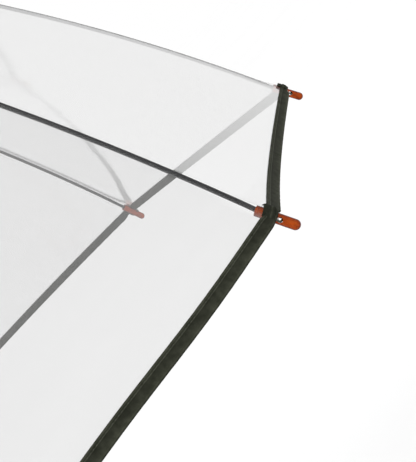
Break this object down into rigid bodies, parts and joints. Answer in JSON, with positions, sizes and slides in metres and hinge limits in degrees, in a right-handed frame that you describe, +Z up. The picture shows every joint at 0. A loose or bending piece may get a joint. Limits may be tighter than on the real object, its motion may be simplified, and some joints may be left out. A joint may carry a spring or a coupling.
{
  "type": "stick umbrella",
  "caption": "Open stick umbrella with a deep clear film dome, dark rods, amber tips and crook handle, and a fabric hem; it folds down on its runner.",
  "frame": {"origin": "middle of the straight grip, on the shaft's axis", "axes": "+Z up along the shaft to the ferrule; rib 1 lies over +X and the crook turns to -X"},
  "size_m": [0.9136, 0.9119, 0.8729],
  "materials": {
    "film": "clear, glossy, thin soft film",
    "rib_rod": "glossy dark grey enamel",
    "tip": "translucent amber moulding",
    "shaft": "glossy dark grey enamel",
    "hub": "smooth black moulding",
    "wire": "drawn wire",
    "handle": "translucent amber moulding, polished",
    "collar": "bright plated",
    "fabric": "woven dark olive tape"
  },
  "bodies": {
    "frame": {"shaft_tube": "shaft", "crown_notch": "hub", "notch_wire": "wire", "ferrule": "tip", "top_cap": "tip", "crook_handle": "handle", "handle_collar": "collar"},
    "runner": {"runner": "hub", "runner_wire": "wire"},
    "top_catch": {"top_catch": "wire"},
    "bottom_catch": {"bottom_catch": "wire"},
    "rib_1": {"rib_inner_1": "rib_rod", "canopy_inner_1": "film"},
    "rib_end_1": {"rib_outer_1": "rib_rod", "rib_tip_1": "tip", "canopy_outer_1": "film"},
    "stretcher_1": {"stretcher_1": "rib_rod"},
    "rib_2": {"rib_inner_2": "rib_rod", "canopy_inner_2": "film"},
    "rib_end_2": {"rib_outer_2": "rib_rod", "rib_tip_2": "tip", "canopy_outer_2": "film"},
    "stretcher_2": {"stretcher_2": "rib_rod"},
    "rib_3": {"rib_inner_3": "rib_rod", "canopy_inner_3": "film"},
    "rib_end_3": {"rib_outer_3": "rib_rod", "rib_tip_3": "tip", "canopy_outer_3": "film"},
    "stretcher_3": {"stretcher_3": "rib_rod"},
    "rib_4": {"rib_inner_4": "rib_rod", "canopy_inner_4": "film"},
    "rib_end_4": {"rib_outer_4": "rib_rod", "rib_tip_4": "tip", "canopy_outer_4": "film"},
    "stretcher_4": {"stretcher_4": "rib_rod"},
    "rib_5": {"rib_inner_5": "rib_rod", "canopy_inner_5": "film"},
    "rib_end_5": {"rib_outer_5": "rib_rod", "rib_tip_5": "tip", "canopy_outer_5": "film"},
    "stretcher_5": {"stretcher_5": "rib_rod"},
    "rib_6": {"rib_inner_6": "rib_rod", "canopy_inner_6": "film"},
    "rib_end_6": {"rib_outer_6": "rib_rod", "rib_tip_6": "tip", "canopy_outer_6": "film", "tie_strap": "fabric"},
    "stretcher_6": {"stretcher_6": "rib_rod"},
    "rib_7": {"rib_inner_7": "rib_rod", "canopy_inner_7": "film"},
    "rib_end_7": {"rib_outer_7": "rib_rod", "rib_tip_7": "tip", "canopy_outer_7": "film"},
    "stretcher_7": {"stretcher_7": "rib_rod"},
    "rib_8": {"rib_inner_8": "rib_rod", "canopy_inner_8": "film"},
    "rib_end_8": {"rib_outer_8": "rib_rod", "rib_tip_8": "tip", "canopy_outer_8": "film"},
    "stretcher_8": {"stretcher_8": "rib_rod"}
  },
  "joints": [
    {"name": "runner_slide", "type": "slide", "parent": "frame", "child": "runner", "axis": [0, 0, -1], "range_m": [0, 0.30283]},
    {"name": "top_catch_press", "type": "slide", "parent": "frame", "child": "top_catch", "axis": [-0.9239, -0.3827, 0], "range_m": [0, 0.0027], "stiffness_N_per_m": 300, "springref_m": -0.002},
    {"name": "bottom_catch_press", "type": "slide", "parent": "frame", "child": "bottom_catch", "axis": [-0.9239, -0.3827, 0], "range_m": [0, 0.0027], "stiffness_N_per_m": 300, "springref_m": -0.002},
    {"name": "rib_1_hinge", "type": "hinge", "parent": "frame", "child": "rib_1", "pos_m": [0.012, 0, 0.73333], "axis": [0, 1, 0], "range_deg": [0, 59.77], "deforming": ["canopy_inner_1"]},
    {"name": "rib_1_flex", "type": "hinge", "parent": "rib_1", "child": "rib_end_1", "pos_m": [0.27252, 0, 0.5967], "axis": [0, -1, 0], "range_deg": [0, 30.05], "deforming": ["canopy_outer_1"]},
    {"name": "stretcher_1_hinge", "type": "hinge", "parent": "rib_1", "child": "stretcher_1", "pos_m": [0.26811, 0, 0.59263], "axis": [0, -1, 0], "range_deg": [0, 119.53]},
    {"name": "rib_2_hinge", "type": "hinge", "parent": "frame", "child": "rib_2", "pos_m": [0.00849, 0.00849, 0.73333], "axis": [-0.7071, 0.7071, 0], "range_deg": [0, 59.77], "deforming": ["canopy_inner_2"]},
    {"name": "rib_2_flex", "type": "hinge", "parent": "rib_2", "child": "rib_end_2", "pos_m": [0.1927, 0.1927, 0.5967], "axis": [0.7071, -0.7071, 0], "range_deg": [0, 30.05], "deforming": ["canopy_outer_2"]},
    {"name": "stretcher_2_hinge", "type": "hinge", "parent": "rib_2", "child": "stretcher_2", "pos_m": [0.18958, 0.18958, 0.59263], "axis": [0.7071, -0.7071, 0], "range_deg": [0, 119.53]},
    {"name": "rib_3_hinge", "type": "hinge", "parent": "frame", "child": "rib_3", "pos_m": [0, 0.012, 0.73333], "axis": [-1, 0, 0], "range_deg": [0, 59.77], "deforming": ["canopy_inner_3"]},
    {"name": "rib_3_flex", "type": "hinge", "parent": "rib_3", "child": "rib_end_3", "pos_m": [0, 0.27252, 0.5967], "axis": [1, 0, 0], "range_deg": [0, 30.05], "deforming": ["canopy_outer_3"]},
    {"name": "stretcher_3_hinge", "type": "hinge", "parent": "rib_3", "child": "stretcher_3", "pos_m": [0, 0.26811, 0.59263], "axis": [1, 0, 0], "range_deg": [0, 119.53]},
    {"name": "rib_4_hinge", "type": "hinge", "parent": "frame", "child": "rib_4", "pos_m": [-0.00849, 0.00849, 0.73333], "axis": [-0.7071, -0.7071, 0], "range_deg": [0, 59.77], "deforming": ["canopy_inner_4"]},
    {"name": "rib_4_flex", "type": "hinge", "parent": "rib_4", "child": "rib_end_4", "pos_m": [-0.1927, 0.1927, 0.5967], "axis": [0.7071, 0.7071, 0], "range_deg": [0, 30.05], "deforming": ["canopy_outer_4"]},
    {"name": "stretcher_4_hinge", "type": "hinge", "parent": "rib_4", "child": "stretcher_4", "pos_m": [-0.18958, 0.18958, 0.59263], "axis": [0.7071, 0.7071, 0], "range_deg": [0, 119.53]},
    {"name": "rib_5_hinge", "type": "hinge", "parent": "frame", "child": "rib_5", "pos_m": [-0.012, 0, 0.73333], "axis": [0, -1, 0], "range_deg": [0, 59.77], "deforming": ["canopy_inner_5"]},
    {"name": "rib_5_flex", "type": "hinge", "parent": "rib_5", "child": "rib_end_5", "pos_m": [-0.27252, 0, 0.5967], "axis": [0, 1, 0], "range_deg": [0, 30.05], "deforming": ["canopy_outer_5"]},
    {"name": "stretcher_5_hinge", "type": "hinge", "parent": "rib_5", "child": "stretcher_5", "pos_m": [-0.26811, 0, 0.59263], "axis": [0, 1, 0], "range_deg": [0, 119.53]},
    {"name": "rib_6_hinge", "type": "hinge", "parent": "frame", "child": "rib_6", "pos_m": [-0.00849, -0.00849, 0.73333], "axis": [0.7071, -0.7071, 0], "range_deg": [0, 59.77], "deforming": ["canopy_inner_6"]},
    {"name": "rib_6_flex", "type": "hinge", "parent": "rib_6", "child": "rib_end_6", "pos_m": [-0.1927, -0.1927, 0.5967], "axis": [-0.7071, 0.7071, 0], "range_deg": [0, 30.05], "deforming": ["canopy_outer_6", "tie_strap"]},
    {"name": "stretcher_6_hinge", "type": "hinge", "parent": "rib_6", "child": "stretcher_6", "pos_m": [-0.18958, -0.18958, 0.59263], "axis": [-0.7071, 0.7071, 0], "range_deg": [0, 119.53]},
    {"name": "rib_7_hinge", "type": "hinge", "parent": "frame", "child": "rib_7", "pos_m": [0, -0.012, 0.73333], "axis": [1, 0, 0], "range_deg": [0, 59.77], "deforming": ["canopy_inner_7"]},
    {"name": "rib_7_flex", "type": "hinge", "parent": "rib_7", "child": "rib_end_7", "pos_m": [0, -0.27252, 0.5967], "axis": [-1, 0, 0], "range_deg": [0, 30.05], "deforming": ["canopy_outer_7"]},
    {"name": "stretcher_7_hinge", "type": "hinge", "parent": "rib_7", "child": "stretcher_7", "pos_m": [0, -0.26811, 0.59263], "axis": [-1, 0, 0], "range_deg": [0, 119.53]},
    {"name": "rib_8_hinge", "type": "hinge", "parent": "frame", "child": "rib_8", "pos_m": [0.00849, -0.00849, 0.73333], "axis": [0.7071, 0.7071, 0], "range_deg": [0, 59.77], "deforming": ["canopy_inner_8"]},
    {"name": "rib_8_flex", "type": "hinge", "parent": "rib_8", "child": "rib_end_8", "pos_m": [0.1927, -0.1927, 0.5967], "axis": [-0.7071, -0.7071, 0], "range_deg": [0, 30.05], "deforming": ["canopy_outer_8"]},
    {"name": "stretcher_8_hinge", "type": "hinge", "parent": "rib_8", "child": "stretcher_8", "pos_m": [0.18958, -0.18958, 0.59263], "axis": [-0.7071, -0.7071, 0], "range_deg": [0, 119.53]}
  ],
  "couplings": [
    {"joint": "rib_1_hinge", "follows": "runner_slide", "rad_per_m": 3.4418},
    {"joint": "rib_1_flex", "follows": "runner_slide", "rad_per_m": 1.729},
    {"joint": "stretcher_1_hinge", "follows": "runner_slide", "rad_per_m": 6.8835},
    {"joint": "rib_2_hinge", "follows": "runner_slide", "rad_per_m": 3.4418},
    {"joint": "rib_2_flex", "follows": "runner_slide", "rad_per_m": 1.729},
    {"joint": "stretcher_2_hinge", "follows": "runner_slide", "rad_per_m": 6.8835},
    {"joint": "rib_3_hinge", "follows": "runner_slide", "rad_per_m": 3.4418},
    {"joint": "rib_3_flex", "follows": "runner_slide", "rad_per_m": 1.729},
    {"joint": "stretcher_3_hinge", "follows": "runner_slide", "rad_per_m": 6.8835},
    {"joint": "rib_4_hinge", "follows": "runner_slide", "rad_per_m": 3.4418},
    {"joint": "rib_4_flex", "follows": "runner_slide", "rad_per_m": 1.729},
    {"joint": "stretcher_4_hinge", "follows": "runner_slide", "rad_per_m": 6.8835},
    {"joint": "rib_5_hinge", "follows": "runner_slide", "rad_per_m": 3.4418},
    {"joint": "rib_5_flex", "follows": "runner_slide", "rad_per_m": 1.729},
    {"joint": "stretcher_5_hinge", "follows": "runner_slide", "rad_per_m": 6.8835},
    {"joint": "rib_6_hinge", "follows": "runner_slide", "rad_per_m": 3.4418},
    {"joint": "rib_6_flex", "follows": "runner_slide", "rad_per_m": 1.729},
    {"joint": "stretcher_6_hinge", "follows": "runner_slide", "rad_per_m": 6.8835},
    {"joint": "rib_7_hinge", "follows": "runner_slide", "rad_per_m": 3.4418},
    {"joint": "rib_7_flex", "follows": "runner_slide", "rad_per_m": 1.729},
    {"joint": "stretcher_7_hinge", "follows": "runner_slide", "rad_per_m": 6.8835},
    {"joint": "rib_8_hinge", "follows": "runner_slide", "rad_per_m": 3.4418},
    {"joint": "rib_8_flex", "follows": "runner_slide", "rad_per_m": 1.729},
    {"joint": "stretcher_8_hinge", "follows": "runner_slide", "rad_per_m": 6.8835}
  ]
}
